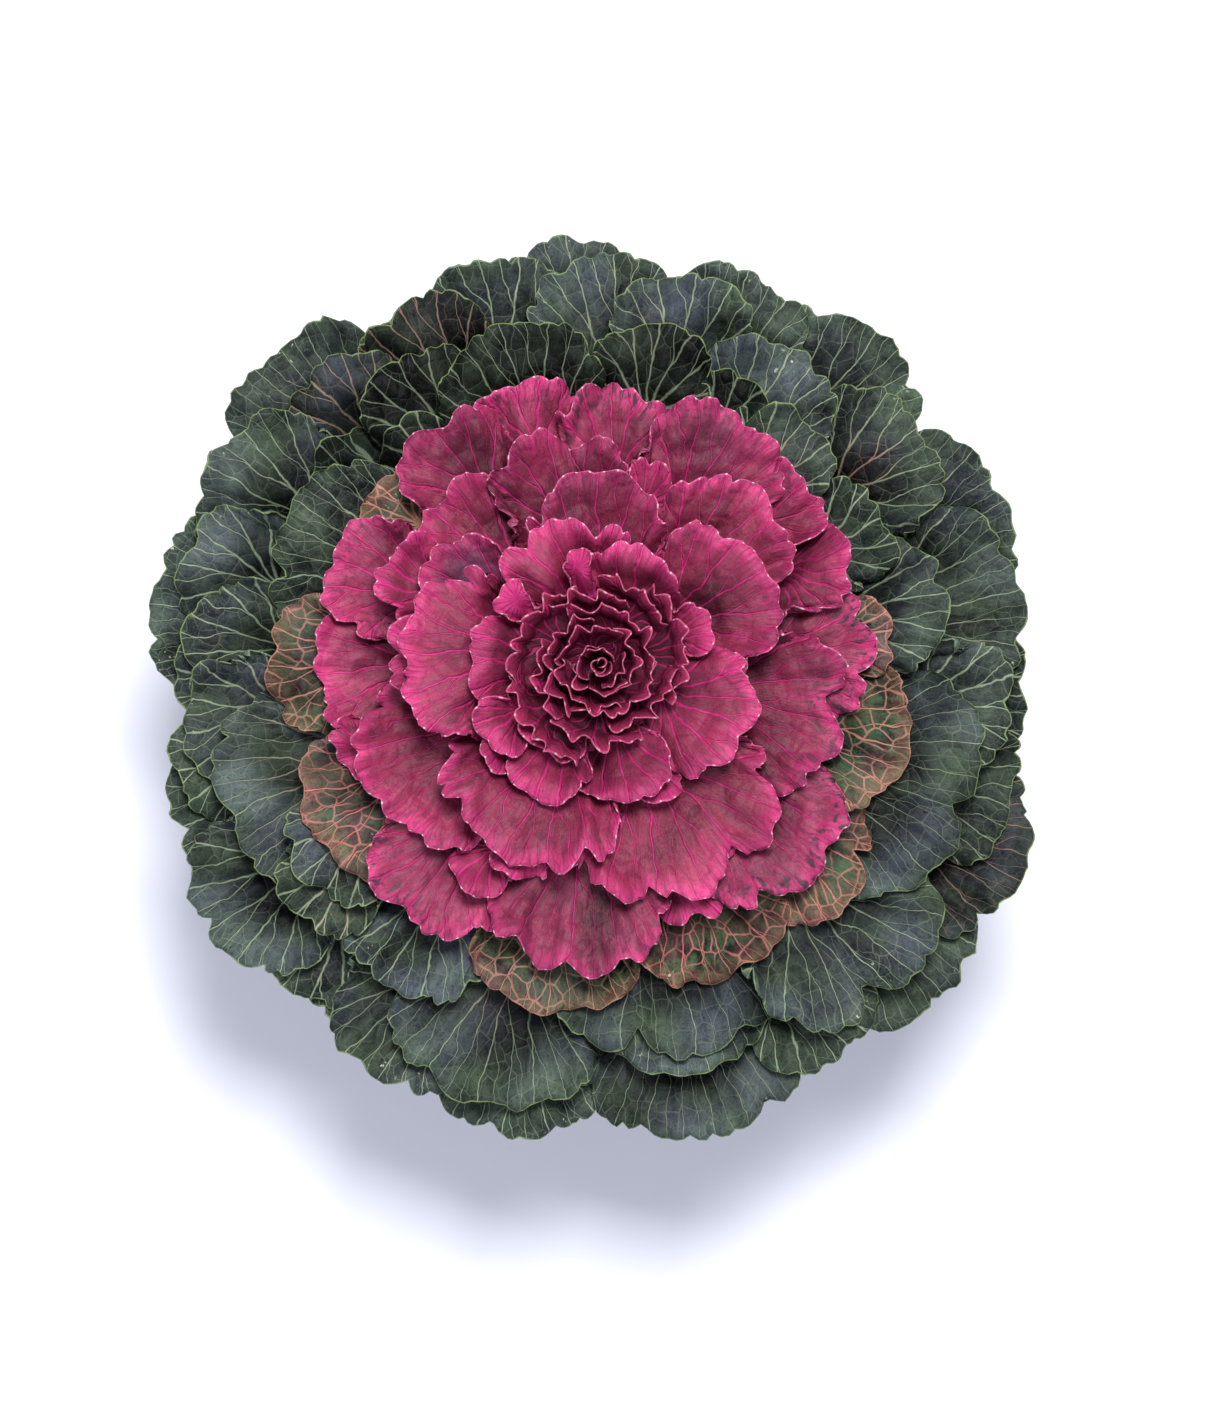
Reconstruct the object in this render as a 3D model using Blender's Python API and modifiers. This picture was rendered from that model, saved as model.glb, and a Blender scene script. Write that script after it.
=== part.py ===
"""Ornamental kale in a plain round pot.

Metres, +Z up. The origin is the middle of the pot's underside, where the pot rests.
The rosette's axis is the pot's axis. Azimuths are degrees from +X towards +Y.
"""

import math

import bmesh
import bpy

MM = 0.001
GAP = 0.3 * MM

# Pot
POT_HEIGHT = 120 * MM
POT_RIM_RADIUS = 75 * MM
POT_FOOT_RADIUS = 54 * MM
POT_WALL = 4 * MM
POT_FLOOR = 5 * MM
COLLAR_HEIGHT = 20 * MM
COLLAR_STEP = 3 * MM
TURN_STEPS = 48

# Soil
SOIL_TOP = 109 * MM
SOIL_CROWN = 3 * MM

# Stem
STEM_FOOT_RADIUS = 15 * MM
STEM_TOP_RADIUS = 7 * MM
STEM_TOP = 184 * MM
STEM_STEPS = 24

# Rosette: where the lowest and the highest leaf leave the stem, how high their tips lie,
# and how far from the axis the leaves of each level reach
LOWEST_BASE = 130 * MM
HIGHEST_BASE = 184 * MM
LOWEST_TIP = 141 * MM
HIGHEST_TIP = 203 * MM
WIDEST_REACH = 182 * MM
NARROWEST_REACH = 24 * MM
LEVEL_POWER = 1.15
DROOP = 0.12

# Leaf blades
BLADE_THICKNESS = 1.1 * MM
STALK_THICKNESS = 2.4 * MM
STALK_HALF_TURN = 11.0
SPAN_CELLS = 8
REACH_CELLS = 5
SPAN_MARGIN = 2.0

# Heart: a bud with a domed crown
HEART_TOP = 208 * MM
HEART_RADIUS = 19 * MM
HEART_CROWN = 5 * MM
HEART_CLEARANCE = 1.2 * MM
HEART_STEPS = 24

# Each leaf: azimuth in degrees, reach from the axis in mm, half of its span in degrees.
# Where leaves overlap, the one that is listed first lies underneath.
OUTER_GREEN = (
    (258, 176, 9),
    (356, 158, 8),
    (22, 161, 15),
    (95, 158, 10),
    (316, 176, 14),
    (139, 168, 14),
    (172, 167, 15),
    (201, 167, 9),
    (229, 163, 10),
    (284, 177, 16),
    (333, 172, 11),
    (50, 159, 12),
    (214, 174, 8),
    (242, 172, 9),
    (254, 165, 15),
)
INNER_GREEN = (
    (10, 156, 15),
    (37, 146, 12),
    (88, 150, 12),
    (119, 150, 9),
    (153, 160, 11),
    (178, 152, 9),
    (189, 153, 8),
    (202, 147, 16),
    (235, 140, 12),
    (285, 151, 17),
    (312, 161, 15),
    (338, 145, 21),
)
VARIEGATED = (
    (50, 117, 14),
    (80, 126, 11),
    (106, 128, 16),
    (156, 128, 20),
    (180, 120, 14),
    (211, 120, 18),
    (261, 127, 17),
    (293, 122, 17),
    (345, 115, 18),
)
OUTER_PINK = (
    (87, 102, 15),
    (125, 107, 14),
    (158, 105, 14),
    (232, 115, 18),
    (264, 111, 24),
    (315, 108, 24),
    (4, 98, 19),
    (61, 104, 19),
)
INNER_PINK = (
    (45, 84, 25),
    (103, 87, 21),
    (346, 90, 27),
    (211, 95, 27),
    (296, 90, 37),
    (243, 77, 38),
    (176, 71, 36),
    (91, 69, 30),
    (30, 68, 34),
    (335, 59, 34),
    (110, 54, 39),
    (243, 53, 22),
)

RINGS = (
    ("outer_green_leaf", OUTER_GREEN, (0.12, 0.20, 0.15)),
    ("inner_green_leaf", INNER_GREEN, (0.16, 0.26, 0.18)),
    ("variegated_leaf", VARIEGATED, (0.40, 0.24, 0.24)),
    ("outer_pink_leaf", OUTER_PINK, (0.60, 0.12, 0.30)),
    ("inner_pink_leaf", INNER_PINK, (0.70, 0.10, 0.32)),
)


def clear_scene():
    for obj in list(bpy.data.objects):
        bpy.data.objects.remove(obj, do_unlink=True)


def new_material(name, colour, roughness, metallic=0.0):
    material = bpy.data.materials.new(name)
    material.use_nodes = True
    shader = material.node_tree.nodes["Principled BSDF"]
    shader.inputs["Base Color"].default_value = (*colour, 1.0)
    shader.inputs["Roughness"].default_value = roughness
    shader.inputs["Metallic"].default_value = metallic
    return material


def new_object(name, mesh, material, collection):
    obj = bpy.data.objects.new(name, mesh)
    obj.data.materials.append(material)
    collection.objects.link(obj)
    return obj


def turned(name, profile, steps, material, collection):
    """A solid turned about Z from (radius, height) points that run down its outer side."""
    mesh = bpy.data.meshes.new(name)
    edges = [(i, i + 1) for i in range(len(profile) - 1)]
    mesh.from_pydata([(radius, 0, height) for radius, height in profile], edges, [])
    obj = new_object(name, mesh, material, collection)
    screw = obj.modifiers.new("Turn", "SCREW")
    screw.axis = "Z"
    screw.steps = steps
    screw.render_steps = steps
    screw.use_merge_vertices = True
    screw.merge_threshold = 1e-6
    return obj


def pot(material, collection):
    """A round pot with a slight taper, a stepped collar and a solid floor."""
    taper = (POT_RIM_RADIUS - COLLAR_STEP - POT_FOOT_RADIUS) / (POT_HEIGHT - COLLAR_HEIGHT)
    collar_foot = POT_HEIGHT - COLLAR_HEIGHT
    under_collar = POT_FOOT_RADIUS + taper * collar_foot
    rim_round = 1.2 * MM
    profile = (
        (0, POT_FLOOR),
        (inner_wall_radius(POT_FLOOR), POT_FLOOR),
        (inner_wall_radius(POT_HEIGHT), POT_HEIGHT - rim_round),
        (inner_wall_radius(POT_HEIGHT) + rim_round, POT_HEIGHT),
        (POT_RIM_RADIUS - rim_round, POT_HEIGHT),
        (POT_RIM_RADIUS, POT_HEIGHT - rim_round),
        (POT_RIM_RADIUS - 0.5 * MM, collar_foot + rim_round),
        (POT_RIM_RADIUS - rim_round, collar_foot),
        (under_collar, collar_foot - 0.5 * MM),
        (POT_FOOT_RADIUS + 0.3 * MM, rim_round),
        (POT_FOOT_RADIUS - rim_round, 0),
        (0, 0),
    )
    return turned("pot", profile, TURN_STEPS, material, collection)


def inner_wall_radius(height):
    """The radius of the pot's inside at this height."""
    foot = POT_FOOT_RADIUS - POT_WALL
    top = POT_RIM_RADIUS - COLLAR_STEP - POT_WALL
    return foot + (top - foot) * height / POT_HEIGHT


def soil(material, collection):
    """The root ball: it fills the pot, and the stem grows out of its top."""
    foot = POT_FLOOR + GAP
    stem_hole = STEM_FOOT_RADIUS + GAP
    profile = (
        (0, SOIL_TOP - 12 * MM),
        (stem_hole, SOIL_TOP - 12 * MM),
        (stem_hole, SOIL_TOP + SOIL_CROWN),
        (40 * MM, SOIL_TOP + 0.6 * SOIL_CROWN),
        (inner_wall_radius(SOIL_TOP) - 6 * MM, SOIL_TOP),
        (inner_wall_radius(SOIL_TOP) - GAP, SOIL_TOP - 1 * MM),
        (inner_wall_radius(foot) - GAP, foot),
        (0, foot),
    )
    return turned("soil", profile, TURN_STEPS, material, collection)


def stem_radius(height):
    """The radius of the stem at this height."""
    foot = SOIL_TOP - 12 * MM
    share = (height - foot) / (STEM_TOP - foot)
    return STEM_FOOT_RADIUS + (STEM_TOP_RADIUS - STEM_FOOT_RADIUS) * share


def stem(material, collection):
    """The short thick stalk that carries every leaf, set into the soil."""
    foot = SOIL_TOP - 12 * MM + GAP
    profile = (
        (0, STEM_TOP),
        (STEM_TOP_RADIUS - 1 * MM, STEM_TOP),
        (stem_radius(STEM_TOP - 1 * MM), STEM_TOP - 1 * MM),
        (STEM_FOOT_RADIUS, foot),
        (0, foot),
    )
    return turned("stem", profile, STEM_STEPS, material, collection)


def level_reach(level):
    """How far from the axis the leaves of a level reach; level 0 is the lowest, 1 the heart."""
    return WIDEST_REACH + (NARROWEST_REACH - WIDEST_REACH) * level


def level_base(level):
    return LOWEST_BASE + (HIGHEST_BASE - LOWEST_BASE) * level


def level_tip(level):
    return LOWEST_TIP + (HIGHEST_TIP - LOWEST_TIP) * level**LEVEL_POWER


def level_height(radius, level):
    """The height of a level's surface at this distance from the axis.

    The surfaces of two levels never meet, so neither do the leaves that lie on them.
    """
    share = (radius - STEM_TOP_RADIUS) / (level_reach(level) - STEM_TOP_RADIUS)
    rise = 1 - (1 - share) ** 2 if share < 1 else 1 - DROOP * (share - 1)
    return level_base(level) + (level_tip(level) - level_base(level)) * rise


def base_radius(level):
    """Where a leaf's stalk ends, a gap away from the stem."""
    near = stem_radius(level_base(level))
    height = level_height(near, level)
    slope = (level_height(near + MM, level) - height) / MM
    lean = slope / math.hypot(1, slope)
    return stem_radius(height) + GAP + 0.4 * STALK_THICKNESS * lean


def turn_between(first, second):
    """The angle between two azimuths, 0 to 180 degrees."""
    return abs((first - second + 180) % 360 - 180)


def tiers(leaves):
    """Each leaf's tier: one above every earlier leaf that it overlaps."""
    found = []
    for azimuth, _, half_span in leaves:
        below = [
            tier
            for tier, (other, _, other_span) in zip(found, leaves)
            if turn_between(azimuth, other)
            < SPAN_MARGIN + max(half_span + other_span, 2 * STALK_HALF_TURN)
        ]
        found.append(1 + max(below, default=0))
    return found


def smooth_step(value):
    value = min(max(value, 0.0), 1.0)
    return value * value * (3 - 2 * value)


def leaf_outline(across, azimuth):
    """The share of a leaf's reach that its margin has at this place across it: a lobed fan."""
    lobes = 0.025 * math.cos(3 * math.pi * across + math.radians(azimuth))
    return 1 - 0.08 * across**2 - 0.22 * across**6 + lobes * (1 - across**2)


def leaf_point(across, along, azimuth, reach, half_span, level):
    """A point of a leaf's middle surface; across runs -1 to 1, along 0 at the stem to 1."""
    start = base_radius(level)
    radius = start + (reach * leaf_outline(across, azimuth) - start) * along
    widening = smooth_step((along - 0.12) / 0.7)
    half_turn = (1 - widening) * STALK_HALF_TURN * start / radius + widening * half_span
    turn = math.radians(azimuth + across * half_turn)
    return (
        radius * math.cos(turn),
        radius * math.sin(turn),
        level_height(radius, level),
    )


def leaf(name, azimuth, reach, half_span, level, material, collection):
    """A leaf: a grid laid on its level's surface, thick at the stalk and thin in the blade."""
    shape = bmesh.new()
    bmesh.ops.create_grid(
        shape, x_segments=SPAN_CELLS, y_segments=REACH_CELLS, size=1
    )
    stalk = shape.verts.layers.deform.verify()
    for vert in shape.verts:
        across = vert.co.x
        along = (vert.co.y + 1) / 2
        vert[stalk][0] = (1 - smooth_step(along / 0.6)) * (1 - abs(across))
        vert.co = leaf_point(across, along, azimuth, reach, half_span, level)
    if sum(face.normal.z for face in shape.faces) < 0:
        bmesh.ops.reverse_faces(shape, faces=shape.faces)
    mesh = bpy.data.meshes.new(name)
    shape.to_mesh(mesh)
    shape.free()
    mesh.shade_smooth()
    obj = new_object(name, mesh, material, collection)
    obj.vertex_groups.new(name="stalk")
    solid = obj.modifiers.new("Thickness", "SOLIDIFY")
    solid.thickness = STALK_THICKNESS
    solid.offset = 0
    solid.vertex_group = "stalk"
    solid.thickness_vertex_group = BLADE_THICKNESS / STALK_THICKNESS
    return obj


def rosette(collection):
    """Every leaf, from the lowest to the innermost."""
    leaves = [row for _, ring, _ in RINGS for row in ring]
    tier_of = tiers(leaves)
    tier_count = max(tier_of) + 1
    placed = iter(zip(leaves, tier_of))
    for kind, ring, colour in RINGS:
        material = new_material(kind, colour, 0.5)
        for number in range(1, len(ring) + 1):
            (azimuth, reach, half_span), tier = next(placed)
            level = (tier - 1) / (tier_count - 1)
            name = f"{kind}_{number:02d}"
            leaf(name, azimuth, reach * MM, half_span, level, material, collection)


def heart(material, collection):
    """The bud of folded young leaves that fills the innermost cup, on top of the stem."""
    cup_radii = (HEART_RADIUS, 16 * MM, 13 * MM, 10 * MM, STEM_TOP_RADIUS)
    cup = [(radius, level_height(radius, 1.0) + HEART_CLEARANCE) for radius in cup_radii]
    crown = [
        (HEART_RADIUS * math.sin(turn), HEART_TOP - HEART_CROWN * (1 - math.cos(turn)))
        for turn in (math.radians(step) for step in (0, 25, 50, 75))
    ]
    foot = [(STEM_TOP_RADIUS - 1.5 * MM, STEM_TOP + GAP), (0, STEM_TOP + GAP)]
    return turned("heart", crown + cup + foot, HEART_STEPS, material, collection)


def main():
    clear_scene()
    collection = bpy.data.collections.new("ornamental_kale")
    bpy.context.scene.collection.children.link(collection)
    pot(new_material("pot_clay", (0.55, 0.27, 0.17), 0.8), collection)
    soil(new_material("potting_soil", (0.05, 0.035, 0.025), 0.95), collection)
    stem(new_material("stem_green", (0.45, 0.50, 0.30), 0.6), collection)
    rosette(collection)
    heart(new_material("heart_crimson", (0.45, 0.03, 0.15), 0.5), collection)


main()
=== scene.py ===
"""Looks of an ornamental kale plant in its pot: ruffled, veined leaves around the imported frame."""

import math
from dataclasses import dataclass, replace

import bpy
import numpy as np
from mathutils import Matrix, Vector


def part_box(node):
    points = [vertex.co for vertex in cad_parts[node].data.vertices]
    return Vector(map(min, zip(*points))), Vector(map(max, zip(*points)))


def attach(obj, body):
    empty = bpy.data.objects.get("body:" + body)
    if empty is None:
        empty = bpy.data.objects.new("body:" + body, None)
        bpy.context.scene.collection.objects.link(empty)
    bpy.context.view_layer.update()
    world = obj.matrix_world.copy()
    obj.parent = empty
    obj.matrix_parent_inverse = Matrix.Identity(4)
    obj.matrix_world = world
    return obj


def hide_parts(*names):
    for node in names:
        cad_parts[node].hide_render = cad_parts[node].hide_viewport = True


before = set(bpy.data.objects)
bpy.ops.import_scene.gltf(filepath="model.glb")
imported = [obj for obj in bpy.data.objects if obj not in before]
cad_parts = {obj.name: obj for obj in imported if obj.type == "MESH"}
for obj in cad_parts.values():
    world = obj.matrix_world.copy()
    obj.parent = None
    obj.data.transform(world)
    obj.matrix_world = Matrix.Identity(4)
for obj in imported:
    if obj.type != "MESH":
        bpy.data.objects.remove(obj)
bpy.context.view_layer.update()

MM = 0.001

# The rosette's frame, as in the CAD model
STEM_FOOT_RADIUS = 15.0
STEM_TOP_RADIUS = 7.0
STEM_FOOT = 97.0
STEM_TOP = 184.0
LOWEST_BASE = 130.0
HIGHEST_BASE = 184.0
LOWEST_TIP = 141.0
HIGHEST_TIP = 203.0
WIDEST_REACH = 182.0
NARROWEST_REACH = 24.0
LEVEL_POWER = 1.15
DROOP = 0.12
STALK_HALF_THICKNESS = 1.2
STALK_HALF_TURN = 11.0

# Levels run from 0 for the lowest leaf to 1 for the highest
LEVEL_SEARCH_STEPS = 40
TOP_LEVEL = 0.97
LEVEL_STEP = 0.06

# From the stem to the end of a stalk, in mm
STEM_GAP = 0.5

# Stacking: the height field that keeps each leaf under the leaves that lie on it
FIELD_HALF = 200.0
FIELD_CELL = 1.0
CLEARANCE = 1.6
LOWEST_OVER_POT = 123.5
HIGHEST_LEAF = 206.5
EMPTY_HEIGHT = 1000.0
CLEARANCE_SLACK = 0.3
PUSH_SPREADS = (3, 1)
POT_COVER_RADIUS = 82.0

# Leaf blades, in mm
BLADE_HALF_THICKNESS = 0.45
MARGIN_HALF_THICKNESS = 0.22
RIB_HALF_THICKNESS = 1.1
UV_SPAN = 200.0
MARGIN_SPAN = 400.0
MARGIN_DEPTH = 20.0

# Main veins: they fan out this many degrees apart and fork at this distance from their origin
VEIN_TURN = 21.0
FORK = 18.0
FORK_LENGTH = 16.0
NO_VEIN = 99.0
VEINS_FROM_TIP = 1.25
VEINS_FROM_AXIS = 0.4

# A leaf's grid: the spacing of its points in mm and how many there may be
ACROSS_SPACING = 1.2
ACROSS_COUNTS = (20, 64)
ALONG_SPACING = 3.0
ALONG_EXTRA = 8
ALONG_COUNTS = (16, 40)
TIP_CROWDING = 0.6

# A leaf's outline: lobe and notch lengths in mm, the rest as shares of the leaf or as exponents
SMALL_LEAF_BONUS = 25.0
FULL_SIZE_REACH = 120.0
LARGE_LOBES = (20.0, 32.0)
MIDDLE_LOBES = (8.0, 12.0)
SMALL_LOBES = 5.1
MIDDLE_LOBE_SHARE = 0.6
SMALL_LOBE_SHARE = 0.18
MEAN_LOBE = 0.8
LOBE_CUSP = 0.75
LOBE_WANDER = 0.9
LOBE_WANDER_LENGTHS = 3.3
NOTCH_DEPTHS = (0.07, 0.11)
DEEPEST_NOTCH = 9.0
NOTCH_HALF_WIDTH = 3.0
NOTCH_SHARPNESS = 1.2
ROUNDNESS = 2.3
SHOULDER = 0.8
ARC_STRETCH = 1.15
SIDE_SHARPNESS = 6
STALK_SHARE = 0.10
WIDENING_SHARE = 0.5

# A leaf's surface: wave lengths, rises and how far in from the margin the waves fade, in mm
FOLDS = (41.0, 27.0, 19.0)
FOLD_FADE = 13.0
CREASES = (7.9, 6.1)
CREASE_SHARE = 0.3
CREASE_FADE = 16.0
FRILLS = (10.5, 7.3)
FRILL_FADE = 4.5
CRIMPS = (5.7, 4.9)
CRIMP_RISE = 0.3
CRIMP_FADE = 3.0
CRUMPLES = (19.0, 13.0, 9.0)
CRUMPLE_RISE = 0.75
CRUMPLE_BEND = 1.2
CRUMPLE_BEND_LENGTHS = 2.3
CURL_FADE = 20.0
CUP_SHARPNESS = 2.5
BODY_START = 0.2
BODY_RISE = 0.5
VEIN_GROOVE = 2.4
BULGE_RISE = 1.5
MARGIN_ZONE = 3.0
RIB_WIDTH = 2.2
RIB_START = 0.2
RIB_TAPER = 0.7
BOWL_DEPTH = 4.5
BOWL_LEVEL = 0.55
BOWL_BLEND = 0.4

# A leaf's tints: patch lengths in mm, the rest as shares
PATCHES = (55.0, 38.0, 27.0)
PATCH_SHARE = 0.5
PINK_PATCH = 0.15
PINK_SPREAD = 0.08
PINK_RIB_WIDTH = 9.0
PINK_RIB_START = 5.0
PINK_RIB_LENGTH = 40.0
BLOOM_PATCHES = (47.0, 31.0)
MOTTLE_SPREAD = (0.3, 1.4)
MIDDLE_TONE = 0.66
TONE_SPREAD = 0.12
TONE_PATCH = 0.28
# Painted shade: the tone falls from this depth in from the margin over this length, in mm, where leaves
# above would shade the blade
PAINTED_SHADE_START = 5.0
PAINTED_SHADE_LENGTH = 22.0

# First seeds of the random draws
LEAF_SEED = 1000
HEART_SEED = 500

# Each leaf, from the lowest of its ring to the one on top: azimuth in degrees, reach from the axis
# in mm, half of its span in degrees, azimuths of the notches in its margin, the number of its CAD
# node (0 for a leaf that only this model has), and its look in LOOKS unless it is plain.
OUTER_GREEN = (
    (282, 174, 5, (), 0, "dark"),
    (258, 175, 13, (), 1),
    (356, 157, 12, (), 2),
    (22, 160, 17, (12,), 3),
    (95, 157, 13, (), 4),
    (316, 174, 16, (326,), 5),
    (139, 167, 17, (147,), 6),
    (172, 166, 17, (), 7, "light"),
    (201, 166, 12, (), 8),
    (229, 162, 13, (), 9),
    (184, 157, 9, (), 0),
    (107, 155, 12, (), 0),
    (121, 150, 9, (), 0),
    (194, 160, 9, (), 0),
    (225, 165, 9, (), 0),
    (284, 176, 18, (), 10),
    (333, 171, 14, (), 11, "purple"),
    (301, 167, 11, (), 0),
    (341, 160, 12, (), 0),
    (50, 158, 15, (), 12),
    (69, 153, 14, (), 0),
    (214, 173, 12, (), 13),
    (242, 171, 12, (), 14),
    (254, 165, 17, (), 15, "rib"),
)
INNER_GREEN = (
    (10, 156, 17, (), 1),
    (354, 151, 10, (), 0),
    (37, 146, 14, (), 2, "rib"),
    (88, 150, 14, (), 3),
    (76, 147, 12, (), 0),
    (119, 150, 12, (), 4, "purple"),
    (135, 150, 11, (), 0, "purple"),
    (153, 160, 14, (), 5),
    (166, 157, 11, (), 0),
    (178, 152, 12, (), 6),
    (189, 153, 11, (), 7),
    (202, 147, 18, (), 8, "rib"),
    (235, 140, 15, (), 9, "blue"),
    (219, 143, 9, (), 0),
    (215, 132, 11, (), 0),
    (285, 151, 19, (), 10, "blue"),
    (284, 145, 25, (278,), 0),
    (312, 161, 17, (310,), 11),
    (338, 145, 23, (338,), 12, "rib"),
    (58, 135, 14, (), 0, "blue"),
    (12, 127, 14, (), 0),
    (28, 118, 12, (), 0),
    (142, 129, 12, (), 0, "dark"),
    (64, 117, 10, (), 0, "dark"),
)
MIDDLE = (
    (50, 117, 14, (57,), 1, "green"),
    (80, 126, 12, (), 2, "dark"),
    (124, 134, 12, (), 0, "dark"),
    (106, 128, 17, (), 3, "dark"),
    (130, 114, 9, (), 0, "dark"),
    (156, 128, 20, (162,), 4, "green"),
    (180, 120, 15, (), 5),
    (211, 120, 18, (), 6, "veined"),
    (261, 127, 18, (), 7),
    (316, 124, 16, (306, 322), 0, "veined"),
    (293, 122, 18, (), 8, "veined"),
    (345, 115, 18, (), 9),
    (6, 106, 9, (), 0),
    (141, 105, 10, (), 0),
)
OUTER_PINK = (
    (110, 95, 10, (), 0),
    (107, 108, 12, (), 0),
    (87, 102, 15, (95,), 1, "mottled"),
    (125, 107, 15, (), 2, "pink_in_shade"),
    (181, 103, 18, (), 0),
    (158, 105, 15, (), 3),
    (200, 101, 8, (), 0),
    (232, 115, 18, (), 4),
    (292, 99, 9, (), 0),
    (264, 111, 24, (256,), 5),
    (315, 108, 24, (308, 334), 6, "mottled"),
    (4, 98, 19, (), 7, "mottled"),
    (26, 99, 12, (), 0),
    (42, 101, 13, (), 0),
    (61, 104, 19, (), 8, "pink_in_shade"),
)
INNER_PINK = (
    (74, 76, 9, (), 0),
    (45, 84, 25, (), 1),
    (130, 85, 20, (121,), 0),
    (103, 87, 21, (99,), 2, "pink_in_shade"),
    (155, 86, 12, (), 0),
    (240, 93, 9, (), 0),
    (248, 83, 8, (), 0),
    (346, 90, 27, (350,), 3, "mottled"),
    (211, 95, 27, (), 4),
    (302, 85, 9, (), 0),
    (296, 90, 37, (270, 286, 303, 323), 5),
    (176, 76, 14, (), 0),
    (243, 77, 38, (229, 260, 274), 6),
    (150, 72, 20, (), 0, "grey"),
    (176, 71, 36, (152,), 7),
    (91, 69, 30, (73, 109), 8, "pink_in_shade"),
    (30, 68, 34, (), 9, "pink_in_shade"),
    (222, 53, 12, (), 0),
    (297, 54, 10, (), 0),
    (335, 59, 34, (321, 349), 10),
    (110, 54, 39, (96, 119, 136), 11),
    (283, 51, 26, (), 0),
    (243, 53, 22, (), 12),
    (178, 47, 31, (), 0),
    (212, 50, 16, (), 0),
    (144, 45, 9, (), 0),
    (68, 44, 34, (), 0),
    (102, 42, 8, (), 0),
    (20, 42, 16, (), 0),
    (235, 38, 30, (), 0),
)
# The folded young leaves of the heart, from the outside in: azimuth and half span in degrees,
# radius of the rim and its height in mm
HEART_LEAVES = (
    (222, 36, 34, 201.5),
    (14, 42, 31, 203.0),
    (150, 44, 30, 203.0),
    (60, 30, 29, 203.5),
    (266, 36, 28, 202.5),
    (98, 36, 25, 204.5),
    (318, 42, 25, 203.5),
    (196, 40, 23, 203.0),
    (60, 64, 19.5, 205.0),
    (168, 70, 18.5, 204.5),
    (300, 62, 18.5, 203.5),
    (238, 66, 15.5, 202.5),
    (118, 66, 13.5, 204.0),
    (6, 62, 13, 204.5),
    (252, 76, 10.5, 203.5),
    (330, 56, 8.5, 204.5),
    (166, 70, 7.5, 204.0),
    (76, 76, 5.5, 204.0),
    (290, 84, 4.0, 203.0),
    (200, 120, 2.6, 202.0),
    (40, 150, 1.5, 200.5),
)
# Young leaves with smaller rims than this stand for the CAD model's closed bud
HEART_NODE_RADIUS = 20.0
HEART_FOOT = 185.0

# The young leaves' walls: points across and up, lengths in mm, the rest as shares or exponents
HEART_GRID = (64, 26)
HEART_HALF_THICKNESS = 0.45
HEART_EDGE = 0.2
HEART_MARGIN_ZONE = 4.0
HEART_STALK_RADIUS = 4.5
HEART_BEND = 0.55
WALL_SHARE = 0.84
LEAN_SHARE = 0.16
SPIRAL_SHARE = 0.07
LEAST_RADIUS = 0.5
SIDE_SHARE = 0.6
WALL_STEEPNESS = 1.5
FOOT_TURN_SHARE = 0.55

# The young leaves' rims: wave lengths and heights in mm, falls as shares of the wall's height
HEART_LENGTH = 20.0
HEART_MAP_LENGTH = 24.0
RIM_FADE = 4.5
SMALLEST_RIM_SIZE = 0.35
RIM_SIZE_RADIUS = 30.0
RIM_SWINGS = (14.0, 9.4)
RIM_SWING = 1.5
RIM_FRILLS = (6.2, 4.9)
RIM_FRILL = 0.8
RIM_CREASES = (10.0, 6.7)
RIM_CREASE = 0.5
RIM_LOBES = 12.0
RIM_RUFFLES = (7.7, 5.3)
RIM_RUFFLE = 0.7
RIM_SWAYS = (8.3, 5.7)
RIM_SWAY = 0.9
SWAY_RADIUS = 4.0
SIDE_FALL = 0.30
SIDE_FALL_SHARPNESS = 3
LOBE_FALL = 0.10

# The young leaves' tints, as shares: their pink, the painted shade at their feet and how it fades up the
# wall, and painted light and shade on the rim's ruffles
HEART_PINK = 0.6
HEART_GAP_SHADE = 0.10
HEART_SHADE_FADE = 0.58
RIPPLE_LIGHT_AND_SHADE = 0.06


def level_reach(level):
    return WIDEST_REACH + (NARROWEST_REACH - WIDEST_REACH) * level


def level_base(level):
    return LOWEST_BASE + (HIGHEST_BASE - LOWEST_BASE) * level


def level_tip(level):
    return LOWEST_TIP + (HIGHEST_TIP - LOWEST_TIP) * level**LEVEL_POWER


def level_height(radius, level):
    """The height of a level's surface at this distance from the axis, in mm."""
    share = (radius - STEM_TOP_RADIUS) / (level_reach(level) - STEM_TOP_RADIUS)
    rise = np.where(share < 1, 1 - (1 - share) ** 2, 1 - DROOP * (share - 1))
    return level_base(level) + (level_tip(level) - level_base(level)) * rise


def stem_radius(height):
    share = (height - STEM_FOOT) / (STEM_TOP - STEM_FOOT)
    return STEM_FOOT_RADIUS + (STEM_TOP_RADIUS - STEM_FOOT_RADIUS) * share


def base_radius(level):
    """Where a leaf's stalk meets the stem."""
    return stem_radius(float(level_height(stem_radius(level_base(level)), level))) + STEM_GAP


def level_of_node(node):
    """The level of a CAD leaf, found from the foot of its stalk."""
    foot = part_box(node)[0].z / MM + STALK_HALF_THICKNESS
    low, high = 0.0, 1.0
    for _ in range(LEVEL_SEARCH_STEPS):
        middle = (low + high) / 2
        if float(level_height(base_radius(middle), middle)) < foot:
            low = middle
        else:
            high = middle
    return low


def smooth_step(value):
    value = np.clip(value, 0.0, 1.0)
    return value * value * (3 - 2 * value)


def waves(along, lengths, draw):
    """A sum of waves of these lengths, from about -1 to 1, with phases from draw."""
    total = np.zeros_like(along)
    for length in lengths:
        total += np.sin(2 * math.pi * along / length + draw.uniform(0, 2 * math.pi))
    return total / math.sqrt(len(lengths))


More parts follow.
